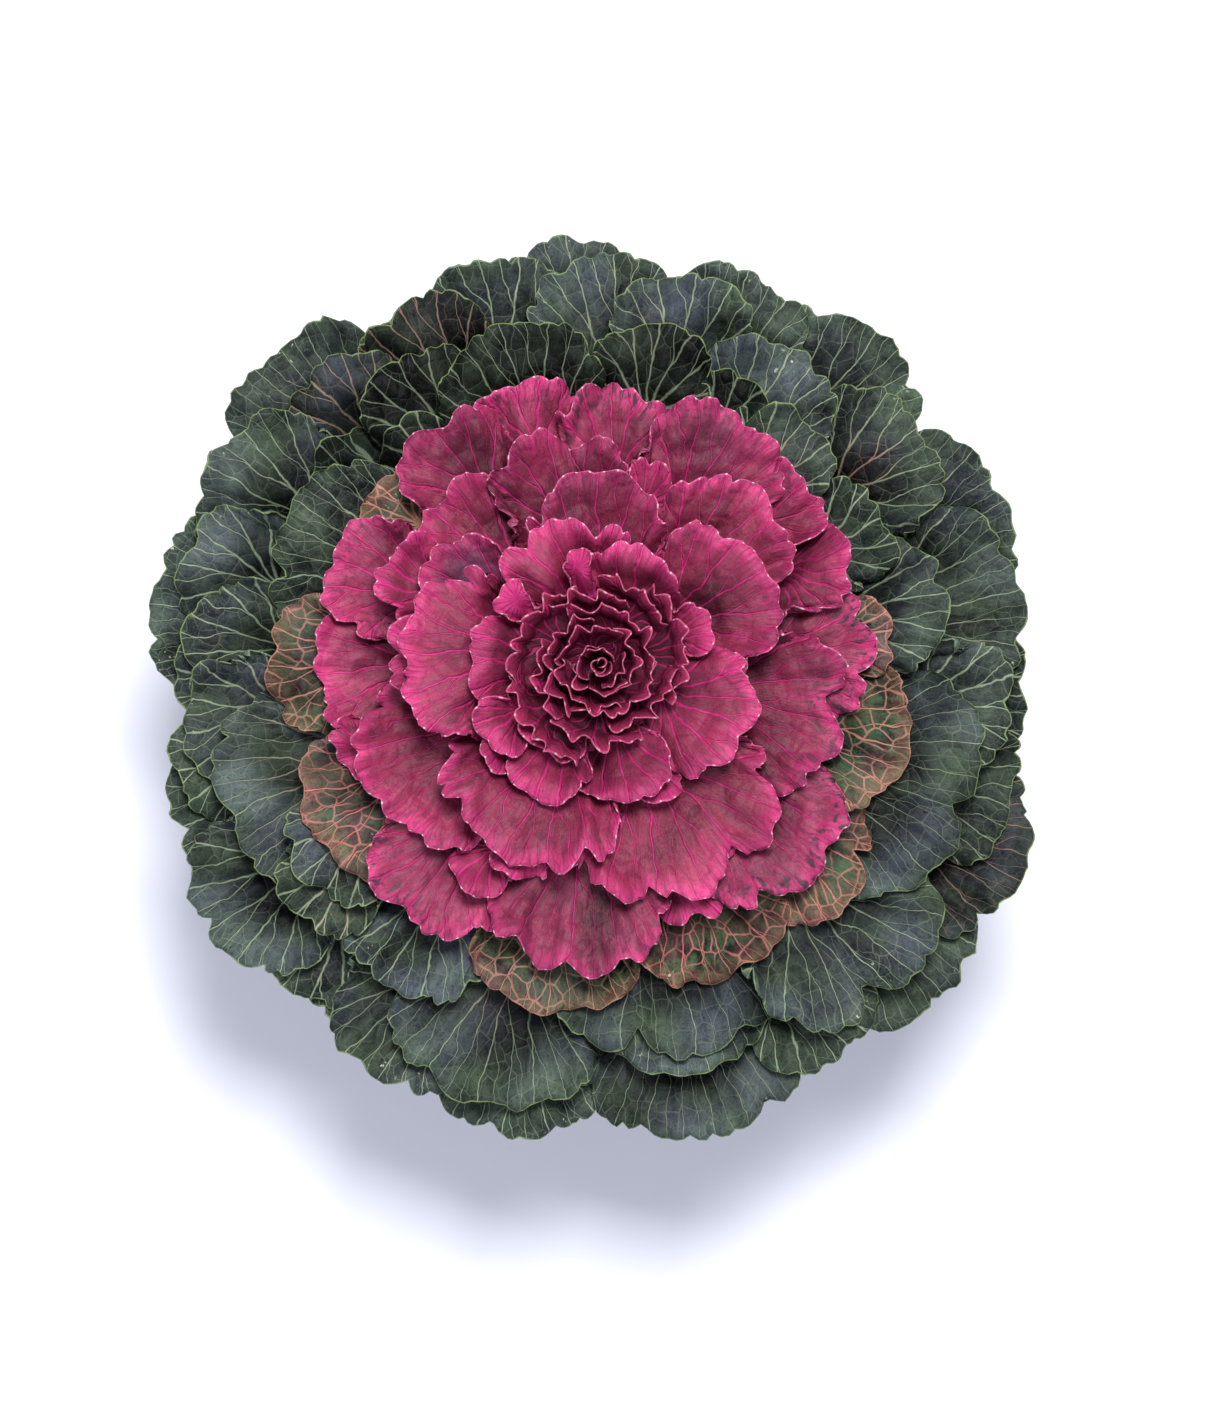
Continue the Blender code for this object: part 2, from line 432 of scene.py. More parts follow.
def lobes(along, length, draw):
    """Round lobes with sharp notches between them, from 0 to 1."""
    long_wave = 2 * math.pi * along / (LOBE_WANDER_LENGTHS * length)
    wander = LOBE_WANDER * np.sin(long_wave + draw.uniform(0, 2 * math.pi))
    phase = math.pi * along / length + wander + draw.uniform(0, math.pi)
    return np.abs(np.sin(phase)) ** LOBE_CUSP


def crumple(x, y, lengths, draw):
    """Waves over the plane in random directions, from about -1 to 1."""
    total = np.zeros_like(x)
    for length in lengths:
        turn = draw.uniform(0, math.pi)
        along = x * math.cos(turn) + y * math.sin(turn)
        beside = x * math.sin(turn) - y * math.cos(turn)
        bend = CRUMPLE_BEND * np.sin(2 * math.pi * beside / (CRUMPLE_BEND_LENGTHS * length))
        total += np.sin(2 * math.pi * along / length + bend + draw.uniform(0, 2 * math.pi))
    return total / math.sqrt(len(lengths))


def vein_distance(x, y):
    """The distance in mm to the nearest main vein; the veins fan out from (0, 0) and fork."""
    rho = np.hypot(x, y) + 0.01
    theta = np.degrees(np.arctan2(x, y))
    nearest = np.full_like(rho, NO_VEIN)
    for period, shift, start in ((VEIN_TURN, 0.0, 0.0), (VEIN_TURN, VEIN_TURN / 2, FORK)):
        turned = theta - shift * smooth_step((rho - start) / FORK_LENGTH)
        off = np.abs((turned / period + 0.5) % 1.0 - 0.5) * period
        distance = np.radians(off) * rho
        nearest = np.where(rho > start, np.minimum(nearest, distance), nearest)
    return nearest


class Field:
    """The lowest underside over each cell of the ground, of all leaves placed so far."""

    def __init__(self):
        cells = int(2 * FIELD_HALF / FIELD_CELL)
        self.low = np.full((cells, cells), EMPTY_HEIGHT)

    def cells(self, x, y):
        last = self.low.shape[0] - 1
        i = np.clip(((x + FIELD_HALF) / FIELD_CELL).astype(int), 0, last)
        j = np.clip(((y + FIELD_HALF) / FIELD_CELL).astype(int), 0, last)
        return i, j

    def add(self, x, y, z):
        x, y, z = (refined(values) for values in (x, y, z))
        np.minimum.at(self.low, self.cells(x, y), z)

    def fitted(self, x, y, z):
        """z pushed down smoothly until it lies under everything placed before."""
        i, j = self.cells(x, y)
        room = np.min(neighbours(self.low), axis=0)[i, j] - CLEARANCE
        for spread in PUSH_SPREADS:
            push = np.maximum(z - room, 0)
            for _ in range(spread):
                push = widened(push)
            for _ in range(2 * spread):
                push = blurred(push)
            z = z - push
        z = np.minimum(z, room + CLEARANCE_SLACK)
        over_pot = np.hypot(x, y) < POT_COVER_RADIUS
        return np.where(over_pot, np.maximum(z, LOWEST_OVER_POT), z)


def refined(values, steps=4):
    """The grid's values with extra ones interpolated between them."""
    for axis in (0, 1):
        count = values.shape[axis]
        places = np.linspace(0, count - 1, steps * (count - 1) + 1)
        before = np.minimum(places.astype(int), count - 2)
        share = places - before
        shape = [1, 1]
        shape[axis] = -1
        share = share.reshape(shape)
        values = np.take(values, before, axis) * (1 - share) + np.take(values, before + 1, axis) * share
    return values


def neighbours(values):
    padded = np.pad(values, 1, mode="edge")
    return (
        padded[1:-1, 1:-1],
        padded[:-2, 1:-1],
        padded[2:, 1:-1],
        padded[1:-1, :-2],
        padded[1:-1, 2:],
    )


def widened(values):
    return np.max(neighbours(values), axis=0)


def blurred(values):
    middle, *around = neighbours(values)
    return 0.4 * middle + 0.15 * sum(around)


def new_mesh_object(name, points, faces, uvs, tint, tone, material):
    """A smooth mesh piece, in metres from mm, with UV maps by name and a colour for each vertex."""
    mesh = bpy.data.meshes.new(name)
    mesh.from_pydata((points * MM).tolist(), [], faces.tolist())
    corner = np.empty(len(mesh.loops), np.int32)
    mesh.loops.foreach_get("vertex_index", corner)
    for layer_name, values in uvs.items():
        layer = mesh.uv_layers.new(name=layer_name)
        layer.data.foreach_set("uv", values[corner].astype(np.float32).ravel())
    layer = mesh.color_attributes.new("tint", "FLOAT_COLOR", "POINT")
    layer.data.foreach_set("color", tint.astype(np.float32).ravel())
    layer = mesh.attributes.new("tone", "FLOAT", "POINT")
    layer.data.foreach_set("value", tone.astype(np.float32).ravel())
    mesh.shade_smooth()
    mesh.materials.append(material)
    obj = bpy.data.objects.new(name, mesh)
    bpy.context.scene.collection.objects.link(obj)
    return obj


def normals_of(points):
    """Unit normals of a grid of points, pointing up."""
    first = np.gradient(points, axis=0)
    second = np.gradient(points, axis=1)
    normal = np.cross(first, second)
    normal /= np.linalg.norm(normal, axis=2, keepdims=True) + 1e-9
    if normal[..., 2].sum() < 0:
        normal = -normal
    return normal


def sheet_faces(rows, columns, upward):
    """Quads of a closed sheet: a grid, its copy below, and the rim between them."""
    index = np.arange(rows * columns).reshape(rows, columns)
    quads = np.stack(
        [index[:-1, :-1], index[1:, :-1], index[1:, 1:], index[:-1, 1:]], axis=-1
    ).reshape(-1, 4)
    if not upward:
        quads = quads[:, ::-1]
    under = rows * columns
    loop = np.concatenate(
        [index[0, :], index[1:, -1], index[-1, -2::-1], index[-2:0:-1, 0]]
    )
    after = np.roll(loop, -1)
    rim = np.stack([loop, after, after + under, loop + under], axis=-1)
    if not upward:
        rim = rim[:, ::-1]
    return np.concatenate([quads, quads[:, ::-1] + under, rim])


def thickened(points, half_thickness):
    normal = normals_of(points)
    offset = normal * half_thickness[..., None]
    return points + offset, points - offset


def leaf_piece(name, points, half_thickness, maps, tint, tone, material):
    """A closed leaf from the grid of its middle surface."""
    rows, columns = points.shape[:2]
    top, bottom = thickened(points, half_thickness)
    first = np.diff(points, axis=0)[:, :-1]
    second = np.diff(points, axis=1)[:-1]
    faces = sheet_faces(rows, columns, np.cross(first, second)[..., 2].sum() > 0)
    under_tint = tint.copy()
    under_tint[..., 3] = 1.0
    both = np.concatenate([top.reshape(-1, 3), bottom.reshape(-1, 3)])
    uvs = {layer: np.tile(values.reshape(-1, 2), (2, 1)) for layer, values in maps.items()}
    tints = np.concatenate([tint.reshape(-1, 4), under_tint.reshape(-1, 4)])
    tones = np.tile(tone.ravel(), 2)
    return new_mesh_object(name, both, faces, uvs, tints, tones, material)


def grid_for(width, length):
    """How many points across and along a leaf of this size gets."""
    across = int(np.clip(width / ACROSS_SPACING, *ACROSS_COUNTS))
    along = int(np.clip(length / ALONG_SPACING + ALONG_EXTRA, *ALONG_COUNTS))
    return across, along


@dataclass
class Style:
    """What the leaves of a ring have in common: heights in mm, shares from 0 to 1, pairs from and to."""

    folds: float
    frill: float
    cup: tuple
    curl: tuple
    lobe: float
    pink: float
    bloom: tuple
    mottle: float
    # painted shade: how far the tone falls away from the margin
    painted_shade: float


class Blade:
    """The middle surface of one leaf as a grid of points, with the place of each point in the leaf."""

    def __init__(self, row, level, style, draw):
        azimuth, self.reach, half_span, _ = row[:4]
        self.level = level
        self.style = style
        self.size = min(1.0, (self.reach + SMALL_LEAF_BONUS) / FULL_SIZE_REACH)
        self.start = base_radius(level)
        self.half_width = self.reach * math.radians(half_span)
        self.lay_out()
        outline = self.outline(draw)
        margin = self.margin(row, outline, draw)
        self.radius = self.start + (margin - self.start) * self.along
        turn = self.turn(half_span, outline)
        origin = max(self.reach - VEINS_FROM_TIP * self.half_width, VEINS_FROM_AXIS * self.reach)
        self.x = self.radius * np.sin(turn)
        self.y = self.radius * np.cos(turn) - origin
        self.tip_depth = (1 - self.along) * (margin - self.start)
        side_depth = (1 - np.abs(self.turn_share)) * self.half_width
        self.depth = np.minimum(self.tip_depth, side_depth)
        height = self.height(draw)
        turn = turn + math.radians(azimuth)
        east = self.radius * np.cos(turn)
        north = self.radius * np.sin(turn)
        self.points = np.stack([east, north, height], axis=-1)

    def lay_out(self):
        """The grid: shares of the way across, by turn and by width, and along; the place on the margin."""
        across_count, along_count = grid_for(2 * self.half_width, self.reach - self.start)
        turn_share = np.linspace(-1, 1, across_count)
        along = np.linspace(0, 1, along_count) ** TIP_CROWDING
        across = np.sin(math.pi / 2 * turn_share)
        self.turn_share, self.along = np.meshgrid(turn_share, along, indexing="ij")
        self.across, _ = np.meshgrid(across, along, indexing="ij")
        self.on_side = np.abs(self.across) ** SIDE_SHARPNESS
        down_side = np.sign(self.across) * self.on_side * (1 - self.along) * (self.reach - self.start)
        self.place = ARC_STRETCH * self.half_width * self.turn_share + down_side

    def outline(self, draw):
        """How far the lobes push the margin out, in mm."""
        outline = 0.0
        for lengths, share in ((LARGE_LOBES, 1.0), (MIDDLE_LOBES, MIDDLE_LOBE_SHARE)):
            lobe = lobes(self.place, draw.uniform(*lengths), draw) - MEAN_LOBE
            outline = outline + share * self.style.lobe * self.size * lobe
        lobe = lobes(self.place, SMALL_LOBES, draw) - MEAN_LOBE
        return outline + SMALL_LOBE_SHARE * self.style.lobe * self.size * lobe

    def margin(self, row, outline, draw):
        """The margin's distance from the axis: a rounded end with lobes and notches."""
        azimuth, reach, _, notches = row[:4]
        rounding = 1 - (1 - np.abs(self.across) ** ROUNDNESS) ** (1 / ROUNDNESS)
        margin = reach - min(self.half_width, reach / 2) * SHOULDER * rounding
        margin = margin + outline
        arc = ARC_STRETCH * self.half_width * self.turn_share
        for notch in notches:
            off = (notch - azimuth + 180) % 360 - 180
            depth = min(draw.uniform(*NOTCH_DEPTHS) * reach, DEEPEST_NOTCH)
            beside = np.abs(arc - reach * math.radians(off)) / NOTCH_HALF_WIDTH
            margin = margin - depth * np.exp(-(beside**NOTCH_SHARPNESS))
        return margin

    def turn(self, half_span, outline):
        """The angle from the midrib: a narrow stalk that widens into a blade with lobed sides."""
        widening = smooth_step((self.along - STALK_SHARE) / WIDENING_SHARE)
        half_turn = (1 - widening) * STALK_HALF_TURN * self.start / self.radius + widening * half_span
        turn = np.radians(self.across * half_turn)
        return turn + np.sign(self.across) * self.on_side * widening * outline / self.radius

    def height(self, draw):
        """The level's surface with the leaf's curl, cup, folds, frill, veins and crumples on it."""
        style = self.style
        size = self.size
        body = smooth_step((self.along - BODY_START) / BODY_RISE)
        height = level_height(self.radius, self.level) - heart_sag(self.radius, self.level)
        curl = draw.uniform(*style.curl) * size
        height = height + curl * np.exp(-self.tip_depth / (CURL_FADE * size))
        cup = draw.uniform(*style.cup) * size
        height = height + cup * np.abs(self.turn_share) ** CUP_SHARPNESS * body
        for lengths, rise, fade in (
            (FOLDS, style.folds * size, FOLD_FADE * size),
            (CREASES, CREASE_SHARE * style.frill * size, CREASE_FADE),
            (FRILLS, style.frill * size, FRILL_FADE * size),
            (CRIMPS, CRIMP_RISE, CRIMP_FADE),
        ):
            ripple = waves(self.place, lengths, draw)
            height = height + rise * ripple * np.exp(-self.depth / fade) * body
        bulge = 1 - np.exp(-((vein_distance(self.x, self.y) / VEIN_GROOVE) ** 2))
        height = height + BULGE_RISE * size * bulge * body * smooth_step(self.depth / MARGIN_ZONE)
        return height + CRUMPLE_RISE * size * crumple(self.x, self.y, CRUMPLES, draw) * body

    def half_thickness(self):
        """Thin at the margin, thicker in the blade, thickest along the midrib."""
        rib = np.exp(-((self.x / RIB_WIDTH) ** 2)) * (1 - smooth_step((self.along - RIB_START) / RIB_TAPER))
        inward = smooth_step(self.depth / MARGIN_ZONE)
        blade = MARGIN_HALF_THICKNESS + (BLADE_HALF_THICKNESS - MARGIN_HALF_THICKNESS) * inward
        return blade + (RIB_HALF_THICKNESS - BLADE_HALF_THICKNESS) * rib


def heart_sag(radius, level):
    """The inner leaves stand in a bowl: they rise late, near their tips."""
    share = np.clip((radius - STEM_TOP_RADIUS) / (level_reach(level) - STEM_TOP_RADIUS), 0, 1)
    return BOWL_DEPTH * smooth_step((level - BOWL_LEVEL) / BOWL_BLEND) * np.sin(math.pi * share)


def uv_maps(x, y, place, depth):
    """The place in the leaf from its veins' origin, and the place along the margin and in from it."""
    return {
        "leaf": np.stack([x / UV_SPAN + 0.5, y / UV_SPAN + 0.5], axis=-1),
        "margin": np.stack([place / MARGIN_SPAN + 0.5, np.clip(depth / MARGIN_DEPTH, 0, 1)], axis=-1),
    }


def leaf(name, row, level, style, material, field, draw):
    """One leaf, laid under the leaves that are placed already."""
    blade = Blade(row, level, style, draw)
    points = blade.points
    points[..., 2] = field.fitted(points[..., 0], points[..., 1], points[..., 2])
    points[..., 2] = np.minimum(points[..., 2], HIGHEST_LEAF)
    field.add(points[..., 0], points[..., 1], points[..., 2] - BLADE_HALF_THICKNESS)
    maps = uv_maps(blade.x, blade.y, blade.place, blade.depth)
    tint, tone = leaf_tint(row, blade, draw)
    return leaf_piece(name, points, blade.half_thickness(), maps, tint, tone, material)


def leaf_tint(row, blade, draw):
    """Red: how pink. Green: waxy bloom. Blue: dark mottling. Alpha: 1 on the underside. And the tone, with
    painted shade darkening the blade away from its margin.
    """
    look = {**NO_CHANGE, **LOOKS[row[5] if len(row) > 5 else "plain"]}
    style = blade.style
    patch = PATCH_SHARE * crumple(blade.x, blade.y, PATCHES, draw)
    pink = style.pink + PINK_PATCH * patch + draw.uniform(-PINK_SPREAD, PINK_SPREAD) + look["pink"]
    on_rib = np.exp(-((blade.x / PINK_RIB_WIDTH) ** 2))
    pink = pink + look["rib"] * on_rib * (1 - smooth_step((blade.y - PINK_RIB_START) / PINK_RIB_LENGTH))
    bloom = draw.uniform(*style.bloom) + look["bloom"]
    bloom = bloom * (0.7 + 0.6 * crumple(blade.x, blade.y, BLOOM_PATCHES, draw))
    side = draw.uniform(-1, 1)
    mottle = style.mottle * draw.uniform(*MOTTLE_SPREAD) * (0.7 + 0.6 * side * blade.across)
    mottle = mottle + look["mottle"] * (0.8 + 0.5 * patch)
    tint = np.stack([pink, bloom, mottle, np.zeros_like(pink)], axis=-1)
    tone = MIDDLE_TONE + draw.uniform(-TONE_SPREAD, TONE_SPREAD) + look["tone"] + TONE_PATCH * patch
    # Painted shade: a darker tone away from the margin, where the leaves above shade the blade.
    tone = tone - style.painted_shade * smooth_step((blade.depth - PAINTED_SHADE_START) / PAINTED_SHADE_LENGTH)
    return np.clip(tint, 0, 1), np.clip(tone, 0, 1)


def colour(red, green, blue):
    """Linear RGBA of an sRGB colour given as 0 to 255."""
    linear = [
        c / 12.92 if c <= 0.04045 else ((c + 0.055) / 1.055) ** 2.4
        for c in (red / 255, green / 255, blue / 255)
    ]
    return (*linear, 1.0)


# The places of a mix node's colour sockets
MIX_FIRST = 6
MIX_SECOND = 7
MIX_RESULT = 2


class Nodes:
    """Short calls for a material's nodes. A value may be a number, a colour or another node's output."""

    def __init__(self, name):
        self.material = bpy.data.materials.new(name)
        self.material.use_nodes = True
        self.tree = self.material.node_tree
        self.shader = self.tree.nodes["Principled BSDF"]

    def put(self, value, socket):
        if isinstance(value, bpy.types.NodeSocket):
            self.tree.links.new(value, socket)
        else:
            socket.default_value = value

    def node(self, kind, *places, **named):
        """A new node with its inputs filled by place or by name."""
        node = self.tree.nodes.new("ShaderNode" + kind)
        for value, socket in zip(places, node.inputs):
            self.put(value, socket)
        for name, value in named.items():
            self.put(value, node.inputs[name])
        return node

    def math(self, operation, *values):
        node = self.node("Math", *values)
        node.operation = operation
        return node.outputs[0]

    def times(self, first, second):
        return self.math("MULTIPLY", first, second)

    def plus(self, first, second):
        return self.math("ADD", first, second)

    def minus(self, first, second):
        return self.math("SUBTRACT", first, second)

    def step(self, value, low, high):
        """0 below low, 1 above high, smooth between; low may be above high."""
        node = self.node("MapRange", value, low, high, 0.0, 1.0)
        node.interpolation_type = "SMOOTHSTEP"
        return node.outputs[0]

    def mix(self, share, first, second):
        node = self.node("Mix", Factor=share)
        node.data_type = "RGBA"
        self.put(first, node.inputs[MIX_FIRST])
        self.put(second, node.inputs[MIX_SECOND])
        return node.outputs[MIX_RESULT]

    def split(self, vector):
        return self.node("SeparateXYZ", vector).outputs

    def join(self, x, y, z=0.0):
        return self.node("CombineXYZ", x, y, z).outputs[0]

    def uv(self, name):
        node = self.node("UVMap")
        node.uv_map = name
        return node.outputs[0]

    def attribute(self, name):
        node = self.node("Attribute")
        node.attribute_name = name
        return node.outputs

    def tint(self):
        outputs = self.attribute("tint")
        return (*self.split(outputs["Color"]), outputs["Alpha"])

    def tone(self):
        return self.attribute("tone")["Fac"]

    def scaled(self, vector, factor):
        node = self.node("VectorMath", vector)
        node.operation = "SCALE"
        self.put(factor, node.inputs["Scale"])
        return node.outputs[0]

    def position(self):
        return self.node("TexCoord").outputs["Object"]

    def noise(self, vector, scale, detail=3.0, roughness=0.5):
        node = self.node("TexNoise", Vector=vector, Scale=scale, Detail=detail, Roughness=roughness)
        return node.outputs["Fac"]

    def cracks(self, vector, scale, dimensions="2D"):
        """The distance to the edges of random cells."""
        node = self.node("TexVoronoi", Vector=vector, Scale=scale)
        node.voronoi_dimensions = dimensions
        node.feature = "DISTANCE_TO_EDGE"
        return node.outputs["Distance"]

    def cells(self, vector, scale):
        """The distance to the middles of random cells."""
        return self.node("TexVoronoi", Vector=vector, Scale=scale).outputs["Distance"]

    def bump(self, height, strength, distance):
        node = self.node("Bump", Height=height, Strength=strength, Distance=distance)
        self.put(node.outputs[0], self.shader.inputs["Normal"])

    def finish(self, base, roughness):
        self.put(base, self.shader.inputs["Base Color"])
        self.put(roughness, self.shader.inputs["Roughness"])
        return self.material


# Leaf materials: noise scales are per metre, net scales per mm, the rest is in mm
GRAIN_SCALE = 1100.0
BLOTCH_SCALE = 190.0
CLOUD_SCALE = 42.0
FLUSH_SCALE = 60.0
FADING_SCALE = 75.0
SPOT_SCALE = 430.0
SPOT_PATCH_SCALE = 38.0
SLOW_WANDER_SCALE = 52.0
QUICK_WANDER_SCALE = 260.0
SLOW_WANDER = 6.5
QUICK_WANDER = 1.3
NET_SCALE = 0.155
FINE_SCALE = 0.5
# Partly the leaf's own paler edge, partly painted light: the band this deep in from the margin, in mm, is
# lightened
PALE_LIT_MARGIN_DEPTH = 9.0
DASH_DEPTH = 16.0
DOT_SPACING = 3.7
UNDERSIDE_SHARE = 0.55
LEAF_RELIEF = 0.0011
FLECK = colour(202, 202, 180)
# The colour of the tiny white dots spaced along the rim
RIM_DOT_WHITE = colour(250, 225, 230)


class LeafMaterial(Nodes):
    """A leaf: tissue between a fan of veins and their net, with a thin bright margin and tiny dots."""

    def __init__(self, name, palette, roughness):
        super().__init__(name)
        self.palette = palette
        self.here = self.position()
        self.pink, self.bloom, self.mottle, self.under = self.tint()
        self.grain = self.noise(self.here, GRAIN_SCALE, roughness=0.7)
        self.blotch = self.noise(self.here, BLOTCH_SCALE, roughness=0.6)
        place, depth, _ = self.split(self.uv("margin"))
        self.place = self.times(place, MARGIN_SPAN)
        self.depth = self.times(depth, MARGIN_DEPTH)
        self.lay_veins()
        base = self.edged(self.blemished(self.veined(self.tissue())))
        base = self.mix(self.times(self.under, UNDERSIDE_SHARE), base, palette["under"])
        self.bump(self.relief(), strength=0.8, distance=LEAF_RELIEF)
        self.shader.inputs["Specular IOR Level"].default_value = palette["shine"]
        self.finish(base, self.plus(self.times(self.grain, 0.25), roughness - 0.12))

    def lay_veins(self):
        """The main veins, the net between them, a finer net, and streaks that run with the veins."""
        u, v, _ = self.split(self.uv("leaf"))
        x = self.times(self.minus(u, 0.5), UV_SPAN)
        y = self.times(self.minus(v, 0.5), UV_SPAN)
        x = self.wandering(x, self.here)
        y = self.wandering(y, self.scaled(self.here, -1.0))
        bent = self.join(x, y)
        self.theta, self.rho = self.polar(x, y)
        self.main = self.fan(x, y)
        self.net_distance = self.cracks(bent, NET_SCALE)
        width = self.palette["net_width"]
        fading = self.step(self.noise(self.here, FADING_SCALE, detail=2.0), 0.25, 0.60)
        self.net = self.times(self.step(self.net_distance, width, 0.1 * width), fading)
        self.fine = self.step(self.cracks(bent, FINE_SCALE), 0.07, 0.02)
        rays = self.join(self.times(self.theta, 0.55), self.times(self.rho, 0.07))
        self.streak = self.noise(rays, 1.0, roughness=0.6)

    def wandering(self, distance, place):
        """A coordinate in mm, shifted a little so that straight lines become crooked."""
        slow = self.minus(self.noise(place, SLOW_WANDER_SCALE, detail=1.0), 0.5)
        quick = self.minus(self.noise(place, QUICK_WANDER_SCALE, detail=1.0), 0.5)
        shifted = self.plus(distance, self.times(slow, SLOW_WANDER))
        return self.plus(shifted, self.times(quick, QUICK_WANDER))

    def polar(self, x, y):
        """The angle from the leaf's midrib in degrees, and the distance from the veins' origin."""
        theta = self.times(self.math("ARCTAN2", x, y), 180 / math.pi)
        squares = self.plus(self.times(x, x), self.times(y, y))
        return theta, self.math("SQRT", squares)

    def fan(self, x, y):
        """How much of a point is main vein: veins fan out from their origin, fork twice and taper."""
        # Each order's spacing and turn in degrees, its start and its half width in mm
        orders = (
            (VEIN_TURN, 0.0, 0.0, 0.72),
            (VEIN_TURN, VEIN_TURN / 2, FORK, 0.5),
            (VEIN_TURN / 2, VEIN_TURN / 4, 1.9 * FORK, 0.32),
        )
        taper = self.minus(1.0, self.times(self.step(self.rho, 5.0, 60.0), 0.6))
        rib = self.step(self.math("ABSOLUTE", x), 1.4, 0.6)
        total = self.times(rib, self.step(y, 8.0, -3.0))
        for period, shift, start, width in orders:
            opened = self.step(self.rho, start, start + FORK_LENGTH)
            turned = self.minus(self.theta, self.times(opened, shift))
            share = self.math("FRACT", self.plus(self.math("DIVIDE", turned, period), 0.5))
            off = self.math("ABSOLUTE", self.minus(share, 0.5))
            distance = self.times(self.times(off, math.radians(period)), self.rho)
            distance = self.math("DIVIDE", distance, taper)
            line = self.step(distance, width, 0.3 * width)
            if start:
                line = self.times(line, self.step(self.rho, start, start + 2))
            total = self.math("MAXIMUM", total, line)
        return total

    def tissue(self):
        """The blade between its veins, dark in the leaf's shaded parts."""
        palette = self.palette
        base = self.mix(self.step(self.blotch, 0.38, 0.60), palette["dark"], palette["tissue"])
        cloud = self.step(self.noise(self.here, CLOUD_SCALE, roughness=0.6), 0.38, 0.68)
        base = self.mix(self.times(cloud, 0.6), base, palette["light"])
        base = self.mix(self.times(self.bloom, 0.6), base, palette["bloom"])
        flush = self.step(self.noise(self.here, FLUSH_SCALE), 0.4, 0.65)
        flush = self.times(self.times(self.pink, flush), palette["flush"])
        base = self.mix(flush, base, palette["pink_tissue"])
        # A lighter band along the margin: partly the leaf's own paler edge, partly painted light where no
        # leaf above shades it.
        pale_lit_band = self.times(self.step(self.depth, PALE_LIT_MARGIN_DEPTH, 0.3), palette["pale_lit_margin"])
        base = self.mix(pale_lit_band, base, palette["margin"])
        rays = self.times(self.step(self.streak, 0.56, 0.38), palette["streaks"])
        base = self.mix(rays, base, palette["streak"])
        base = self.mix(self.times(self.dashes(), self.mottle), base, palette["mottle"])
        pale_grain = self.times(self.step(self.grain, 0.54, 0.70), 0.35)
        base = self.mix(pale_grain, base, palette["light"])
        dark_grain = self.times(self.step(self.grain, 0.46, 0.32), 0.6)
        base = self.mix(dark_grain, base, palette["dark"])
        # The tone scales the tissue, painted shade included.
        return self.scaled(base, self.plus(self.times(self.tone(), 1.4), 0.1))

    def dashes(self):
        """Short dark marks along the veins, near the margin."""
        rays = self.join(self.times(self.theta, 0.30), self.times(self.rho, 0.22))
        dash = self.step(self.noise(rays, 1.0, detail=2.0), 0.50, 0.62)
        return self.times(dash, self.step(self.depth, DASH_DEPTH, 4.0))

    def veined(self, base):
        palette = self.palette
        # The veins follow the tone too, painted shade included.
        line_tone = self.plus(self.times(self.tone(), 0.75), 0.5)
        vein = self.scaled(self.mix(self.pink, palette["vein"], palette["pink_vein"]), line_tone)
        base = self.mix(self.times(self.fine, palette["fine"]), base, vein)
        base = self.mix(self.times(self.net, palette["net"]), base, vein)
        return self.mix(self.times(self.main, palette["main"]), base, vein)

    def blemished(self, base):
        """A few pale flecks in patches of the lightest leaves."""
        spot = self.step(self.noise(self.here, SPOT_SCALE, detail=2.0), 0.66, 0.71)
        patch = self.step(self.noise(self.here, SPOT_PATCH_SCALE, detail=2.0), 0.55, 0.62)
        spot = self.times(self.times(spot, patch), self.step(self.tone(), 0.6, 0.75))
        return self.mix(self.times(spot, self.palette["blemish"]), base, FLECK)

    def edged(self, base):
        """The thin bright line along the margin and its tiny white dots."""
        width = self.palette["edge_width"]
        edge = self.step(self.depth, width, 0.3 * width)
        base = self.mix(self.times(edge, self.palette["edge_strength"]), base, self.palette["edge"])
        beat = self.math("FRACT", self.math("DIVIDE", self.place, DOT_SPACING))
        beat = self.math("ABSOLUTE", self.minus(beat, 0.5))
        dots = self.times(self.step(beat, 0.11, 0.05), self.step(self.depth, 0.55, 0.2))
        return self.mix(self.times(dots, self.palette["dots"]), base, RIM_DOT_WHITE)

    def relief(self):
        """Sunken veins, pillows between them, blotches, streaks and grain."""
        pillow = self.times(self.step(self.net_distance, 0.0, 0.32), self.palette["pillow"])
        relief = self.plus(self.times(self.main, -0.5), self.times(self.blotch, 0.6))
        relief = self.plus(relief, pillow)
        relief = self.plus(relief, self.times(self.streak, self.palette["streaks"]))
        return self.plus(relief, self.times(self.grain, 0.25))


GREEN = {
    "dark": colour(10, 13, 15),
    "tissue": colour(42, 47, 43),
    "light": colour(88, 106, 84),
    "bloom": colour(106, 114, 130),
    "vein": colour(152, 170, 142),
    "pink_vein": colour(172, 104, 104),
    "pink_tissue": colour(52, 38, 50),
    "mottle": colour(18, 16, 22),
    "streak": colour(24, 26, 32),
    "margin": colour(50, 64, 50),
    # lighter margin band: partly paler edge, partly painted light
    "pale_lit_margin": 0.3,
    "streaks": 0.25,
    "fine": 0.02,
    "net": 0.20,
    "net_width": 0.04,
    "main": 0.72,
    "pillow": 0.35,
    "flush": 0.6,
    "edge": colour(142, 164, 104),
    "edge_width": 0.5,
    "edge_strength": 0.6,
    "blemish": 0.75,
    "dots": 0.0,
    "under": colour(104, 122, 108),
    "shine": 0.08,
}
